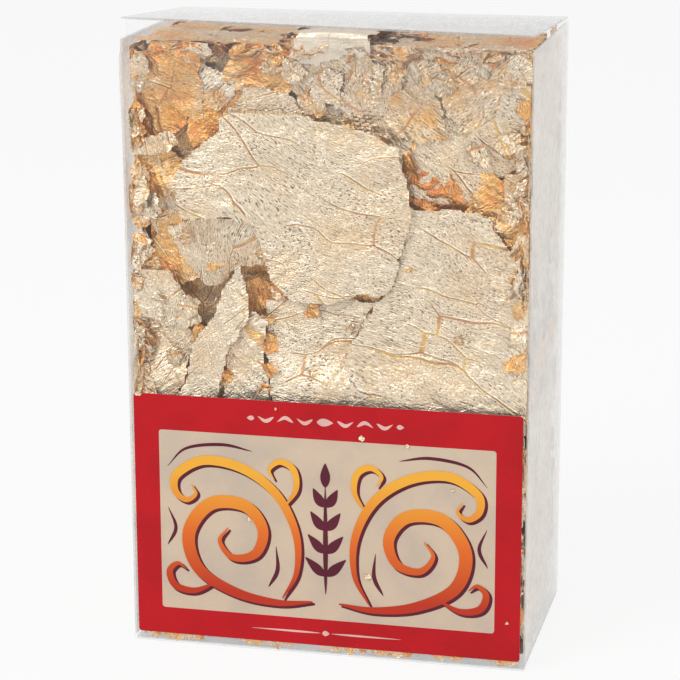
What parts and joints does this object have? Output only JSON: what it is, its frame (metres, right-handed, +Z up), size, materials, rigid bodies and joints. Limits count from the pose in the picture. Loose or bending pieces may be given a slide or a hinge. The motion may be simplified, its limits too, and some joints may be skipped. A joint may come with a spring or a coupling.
{
  "type": "clear tuck-end box of gold leaf flakes",
  "caption": "Upright clear plastic tuck-end carton packed with crumpled gold leaf, with hinged lids, tuck flaps and dust flaps and a red bordered label on its front.",
  "frame": {"origin": "middle of the base, on the surface that the box stands on", "axes": "+Z up, -Y out of the labelled front, +X to the right as seen from the front"},
  "size_m": [0.065, 0.0361, 0.1022],
  "materials": {
    "clear_film": "clear glossy film",
    "glue": "clear cured glue",
    "label_clear": "glossy sticker film",
    "label_red": "glossy red print",
    "label_cream": "glossy cream print",
    "leaf_gold": "bright crumpled leaf",
    "leaf_inside": "crumpled leaf in the heap's shade"
  },
  "bodies": {
    "root": {"back_leaf_lower_left": "leaf_gold", "back_leaf_lower_right": "leaf_gold", "back_leaf_middle_left": "leaf_gold", "back_leaf_middle_right": "leaf_gold", "back_leaf_upper_left": "leaf_gold", "back_leaf_upper_right": "leaf_gold", "back_panel": "clear_film", "bottom_leaf_left": "leaf_gold", "bottom_leaf_right": "leaf_gold", "front_leaf_behind_label_left": "leaf_gold", "front_leaf_behind_label_right": "leaf_gold", "front_leaf_centre": "leaf_gold", "front_leaf_left_strip": "leaf_gold", "front_leaf_left_tongue": "leaf_gold", "front_leaf_lower_left": "leaf_gold", "front_leaf_lower_middle": "leaf_gold", "front_leaf_lower_right": "leaf_gold", "front_leaf_middle_left": "leaf_gold", "front_leaf_right_edge": "leaf_gold", "front_leaf_spear": "leaf_gold", "front_leaf_strip": "leaf_gold", "front_leaf_upper_left": "leaf_gold", "front_leaf_upper_middle": "leaf_gold", "front_leaf_upper_right": "leaf_gold", "front_leaf_upper_tongue": "leaf_gold", "front_panel": "clear_film", "glue_flap": "clear_film", "glue_line": "glue", "inner_leaf_1": "leaf_inside", "inner_leaf_2": "leaf_inside", "inner_leaf_3": "leaf_inside", "inner_leaf_4": "leaf_inside", "inner_leaf_5": "leaf_inside", "inner_leaf_6": "leaf_inside", "inner_leaf_7": "leaf_inside", "label_border_print": "label_red", "label_film": "label_clear", "label_window_print": "label_cream", "left_leaf_lower": "leaf_gold", "left_leaf_middle": "leaf_gold", "left_leaf_upper": "leaf_gold", "left_side_panel": "clear_film", "right_leaf_lower": "leaf_gold", "right_leaf_middle": "leaf_gold", "right_leaf_upper": "leaf_gold", "right_side_panel": "clear_film", "top_leaf_crown": "leaf_gold", "top_leaf_left": "leaf_gold", "top_leaf_right": "leaf_gold"},
    "top_lid": {"top_lid": "clear_film"},
    "top_tuck_flap": {"top_tuck_flap": "clear_film"},
    "top_left_dust_flap": {"top_left_dust_flap": "clear_film"},
    "top_right_dust_flap": {"top_right_dust_flap": "clear_film"},
    "bottom_lid": {"bottom_lid": "clear_film"},
    "bottom_tuck_flap": {"bottom_tuck_flap": "clear_film"},
    "bottom_left_dust_flap": {"bottom_left_dust_flap": "clear_film"},
    "bottom_right_dust_flap": {"bottom_right_dust_flap": "clear_film"}
  },
  "joints": [
    {"name": "top_lid_hinge", "type": "hinge", "parent": "root", "child": "top_lid", "pos_m": [0, 0.01785, 0.09985], "axis": [-1, 0, 0], "range_deg": [0, 130]},
    {"name": "top_tuck_fold", "type": "hinge", "parent": "top_lid", "child": "top_tuck_flap", "pos_m": [0, -0.01741, 0.10186], "axis": [1, 0, 0], "range_deg": [0, 59]},
    {"name": "top_left_dust_fold", "type": "hinge", "parent": "root", "child": "top_left_dust_flap", "pos_m": [-0.03235, 0, 0.0995], "axis": [0, -1, 0], "range_deg": [0, 46]},
    {"name": "top_right_dust_fold", "type": "hinge", "parent": "root", "child": "top_right_dust_flap", "pos_m": [0.03235, 0, 0.0995], "axis": [0, 1, 0], "range_deg": [0, 46]},
    {"name": "bottom_lid_hinge", "type": "hinge", "parent": "root", "child": "bottom_lid", "pos_m": [0, 0.01785, 0.00015], "axis": [1, 0, 0], "range_deg": [0, 130]},
    {"name": "bottom_tuck_fold", "type": "hinge", "parent": "bottom_lid", "child": "bottom_tuck_flap", "pos_m": [0, -0.0173, 0.0003], "axis": [-1, 0, 0], "range_deg": [0, 59]},
    {"name": "bottom_left_dust_fold", "type": "hinge", "parent": "root", "child": "bottom_left_dust_flap", "pos_m": [-0.03235, 0, 0.0005], "axis": [0, 1, 0], "range_deg": [0, 46]},
    {"name": "bottom_right_dust_fold", "type": "hinge", "parent": "root", "child": "bottom_right_dust_flap", "pos_m": [0.03235, 0, 0.0005], "axis": [0, -1, 0], "range_deg": [0, 46]}
  ],
  "couplings": [
    {"joint": "top_tuck_fold", "follows": "top_lid_hinge", "ratio": 0.45},
    {"joint": "top_left_dust_fold", "follows": "top_lid_hinge", "ratio": 0.35},
    {"joint": "top_right_dust_fold", "follows": "top_lid_hinge", "ratio": 0.35},
    {"joint": "bottom_tuck_fold", "follows": "bottom_lid_hinge", "ratio": 0.45},
    {"joint": "bottom_left_dust_fold", "follows": "bottom_lid_hinge", "ratio": 0.35},
    {"joint": "bottom_right_dust_fold", "follows": "bottom_lid_hinge", "ratio": 0.35}
  ]
}
